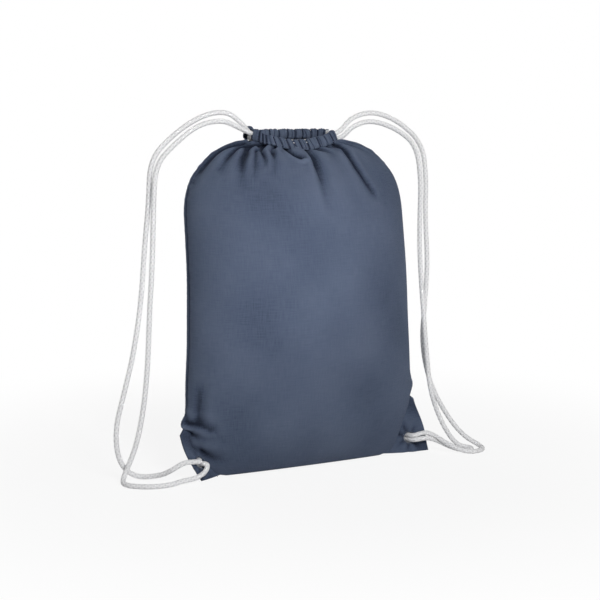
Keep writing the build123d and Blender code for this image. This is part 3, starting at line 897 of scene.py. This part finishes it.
def white_braid(name):
    """Undyed bleached cotton braid with fine fibres, and painted shade in grey between its strands."""
    material = bpy.data.materials.new(name)
    material.use_nodes = True
    tree = material.node_tree
    shader = tree.nodes["Principled BSDF"]
    shader.inputs["Specular IOR Level"].default_value = 0.2
    shader.inputs["Sheen Weight"].default_value = 0.15
    shader.inputs["Subsurface Weight"].default_value = 1.0
    shader.inputs["Subsurface Radius"].default_value = (1.0, 1.0, 1.0)
    shader.inputs["Subsurface Scale"].default_value = 0.006
    strand = tree.nodes.new("ShaderNodeAttribute")
    strand.attribute_name = "strand"
    rolled = tree.nodes.new("ShaderNodeAttribute")
    rolled.attribute_name = "braid"
    fibres = noise(tree, stretch(tree, rolled.outputs["Vector"], (5200, 2600, 1)), 1.0, 3.0)
    blotches = noise(tree, stretch(tree, rolled.outputs["Vector"], (60, 25, 1)), 1.0, 2.0)
    # Painted shade: the braid is grey between its raised strands and whiter on them.
    tone = calc(tree, "MULTIPLY_ADD", strand.outputs["Fac"], 0.34, 0.42)
    tone = calc(tree, "ADD", tone, calc(tree, "MULTIPLY", fibres, 0.25))
    tone = calc(tree, "ADD", tone, calc(tree, "MULTIPLY_ADD", blotches, 0.16, -0.12))
    ramp = tree.nodes.new("ShaderNodeValToRGB")
    ramp.color_ramp.elements[0].position = 0.05
    ramp.color_ramp.elements[0].color = (0.66, 0.66, 0.68, 1)
    ramp.color_ramp.elements[1].position = 0.75
    ramp.color_ramp.elements[1].color = (0.90, 0.90, 0.91, 1)
    tree.links.new(tone, ramp.inputs["Fac"])
    tree.links.new(ramp.outputs["Color"], shader.inputs["Base Color"])
    rough = calc(tree, "MULTIPLY_ADD", fibres, 0.15, 0.78)
    tree.links.new(rough, shader.inputs["Roughness"])
    relief = tree.nodes.new("ShaderNodeBump")
    relief.inputs["Strength"].default_value = 0.6
    relief.inputs["Distance"].default_value = 0.00035
    tree.links.new(calc(tree, "MULTIPLY_ADD", fibres, 0.5, strand.outputs["Fac"]), relief.inputs["Height"])
    tree.links.new(relief.outputs["Normal"], shader.inputs["Normal"])
    return material


cord_cotton = white_braid("White cotton braid")

# ---- Knots behind the corners --------------------------------------------------------
# Both ends of a cord are tied in one overhand knot, too thick for the hole, and
# their cut tails stick out below it.

KNOT_REACH = 0.0046
KNOT_MIDDLE_Y = -0.0115
KNOT_SHIFT = Vector((0.003, 0, 0))
KNOT_STEP = 0.0008
TURN_RADIUS = 0.0030
TAIL_RADIUS = 0.0028
TAILS = ((0.0025, 0.0148), (0.0072, 0.0132))  # lean to the right and drop of each


def overhand_knot(name, hole, node):
    """A tight overhand knot with two short tails."""
    hole = hole + KNOT_SHIFT
    places = []
    for k in range(24):
        t = 2 * pi * k / 24
        places.append((
            hole.x + KNOT_REACH * (sin(t) + 2 * sin(2 * t)) / 3,
            KNOT_MIDDLE_Y - 0.0036 * sin(3 * t) + 0.0006,
            hole.z + KNOT_REACH * (cos(t) - 2 * cos(2 * t)) / 3,
        ))
    loop, _ = cord_line(places, KNOT_STEP, closed=True)
    turns = [braided_tube(name, loop, TURN_RADIUS)]
    for lean, drop in TAILS:
        tail = [
            (hole.x + lean * 0.2, KNOT_MIDDLE_Y + 0.001, hole.z),
            (hole.x + lean * 0.8, KNOT_MIDDLE_Y + 0.004, hole.z - 0.006),
            (hole.x + lean * 1.3, KNOT_MIDDLE_Y + 0.0035, hole.z - drop),
        ]
        turns.append(braided_tube(name, cord_line(tail, KNOT_STEP)[0], TAIL_RADIUS))
    knot = join_all(name, turns)
    knot.data.materials.append(cord_cotton)
    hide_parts(node)
    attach(knot, "root")
    return knot


left_knot = overhand_knot("left_overhand_knot", LEFT_HOLE, "left_knot")
right_knot = overhand_knot("right_overhand_knot", RIGHT_HOLE, "right_knot")

# ---- Shoulder straps ---------------------------------------------------------------------
# Each cord is one length. Its two free strands are the strap, and its knot holds both ends. The line from
# the channel's end to the hole is given for each side, but the strap is not turned about it.

LEFT_AXIS = (Vector((-0.0681, 0.0174, 0.4209)), Vector((0.24211, 0.11977, 0.96284)))
RIGHT_AXIS = (Vector((0.070, 0.0174, 0.4083)), Vector((-0.26127, 0.12163, 0.95754)))
STRAPS = (
    ("left", LEFT_ROUTE, LEFT_AXIS, -1, LEFT_HOLE, left_knot),
    ("right", RIGHT_ROUTE, RIGHT_AXIS, 1, RIGHT_HOLE, right_knot),
)
for side, route, (pivot, axis), outward, hole, knot in STRAPS:
    line, length = cord_line(route, CORD_STEP)
    piece = braided_tube(f"{side}_cord", line, CORD / 2)
    piece.data.materials.append(cord_cotton)
    out = Vector((outward, 0, 0))
    out = (out - axis * out.dot(axis)).normalized()
    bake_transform(piece)
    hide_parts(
        f"{side}_cord_in_channel", f"{side}_strap_outer", f"{side}_strap_inner", f"{side}_cord_ends"
    )

# ---- Floor, light and camera ------------------------------------------------------------
# A pale floor that keeps the bag's soft shadow and fades to white, a soft lamp in
# front, a narrow one for the bag's middle, one behind, and the camera at the left.


def seen_rays(tree):
    """1 for what the camera sees, straight or in a gloss, and 0 for light."""
    rays = tree.nodes.new("ShaderNodeLightPath")
    return calc(tree, "MAXIMUM", rays.outputs["Is Camera Ray"], rays.outputs["Is Glossy Ray"])


bpy.ops.mesh.primitive_circle_add(vertices=96, radius=6.0, fill_type="NGON", location=(0, 0, 0))
floor = bpy.context.object
floor.name = "floor"
paper = bpy.data.materials.new("White paper")
paper.use_nodes = True
tree = paper.node_tree
shader = tree.nodes["Principled BSDF"]
shader.inputs["Base Color"].default_value = (0.8, 0.8, 0.8, 1)
shader.inputs["Roughness"].default_value = 0.9
shader.inputs["Specular IOR Level"].default_value = 0.1
place = tree.nodes.new("ShaderNodeTexCoord")
reach = tree.nodes.new("ShaderNodeVectorMath")
reach.operation = "LENGTH"
tree.links.new(place.outputs["Object"], reach.inputs[0])
seen = seen_rays(tree)
far = tree.nodes.new("ShaderNodeMapRange")
far.interpolation_type = "SMOOTHSTEP"
far.inputs["From Min"].default_value = 0.22
far.inputs["From Max"].default_value = 0.75
far.inputs["To Min"].default_value = 0.88
tree.links.new(reach.outputs["Value"], far.inputs["Value"])
glow = tree.nodes.new("ShaderNodeEmission")
glow.inputs["Strength"].default_value = 1.0
blend = tree.nodes.new("ShaderNodeMixShader")
tree.links.new(calc(tree, "MULTIPLY", far.outputs["Result"], seen), blend.inputs[0])
tree.links.new(shader.outputs[0], blend.inputs[1])
tree.links.new(glow.outputs[0], blend.inputs[2])
tree.links.new(blend.outputs[0], tree.nodes["Material Output"].inputs["Surface"])
floor.data.materials.append(paper)
floor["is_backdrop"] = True

world = bpy.data.worlds.new("Studio")
bpy.context.scene.world = world
world.use_nodes = True
tree = world.node_tree
air = tree.nodes["Background"]
air.inputs["Color"].default_value = (1, 1, 1, 1)
tree.links.new(calc(tree, "MULTIPLY_ADD", seen_rays(tree), 0.91, 0.09), air.inputs["Strength"])


def lamp(name, place, aim, size, power, spread=180):
    """A square soft lamp at a place, turned towards an aim, with its beam's width in degrees."""
    light = bpy.data.lights.new(name, "AREA")
    light.size = size
    light.spread = radians(spread)
    light.energy = power
    holder = bpy.data.objects.new(name, light)
    holder.location = place
    holder.rotation_euler = (Vector(aim) - Vector(place)).to_track_quat("-Z", "Y").to_euler()
    bpy.context.scene.collection.objects.link(holder)


lamp("key", (-0.30, -2.1, 1.35), (0, 0, 0.25), 0.6, 40)
lamp("accent", (-0.20, -2.1, 1.15), (-0.035, -0.06, 0.26), 0.18, 0.09, 11)
lamp("back", (-0.3, 2.0, 1.2), (0, 0, 0.25), 1.4, 16)

CAMERA_AZIMUTH = radians(28)
CAMERA_PITCH = radians(7.85)
camera = bpy.data.cameras.new("camera")
camera.lens = 87
camera.sensor_width = 36
eye = bpy.data.objects.new("camera", camera)
eye.location = (-0.8244, -1.5567, 0.4465)
forward = Vector((
    sin(CAMERA_AZIMUTH) * cos(CAMERA_PITCH),
    cos(CAMERA_AZIMUTH) * cos(CAMERA_PITCH),
    -sin(CAMERA_PITCH),
))
eye.rotation_euler = forward.to_track_quat("-Z", "Y").to_euler()
bpy.context.scene.collection.objects.link(eye)
bpy.context.scene.camera = eye
bpy.context.scene.view_settings.view_transform = "Standard"

# ---- Size ------------------------------------------------------------------------------------
# The box of what is shown, without the floor.

low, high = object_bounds()
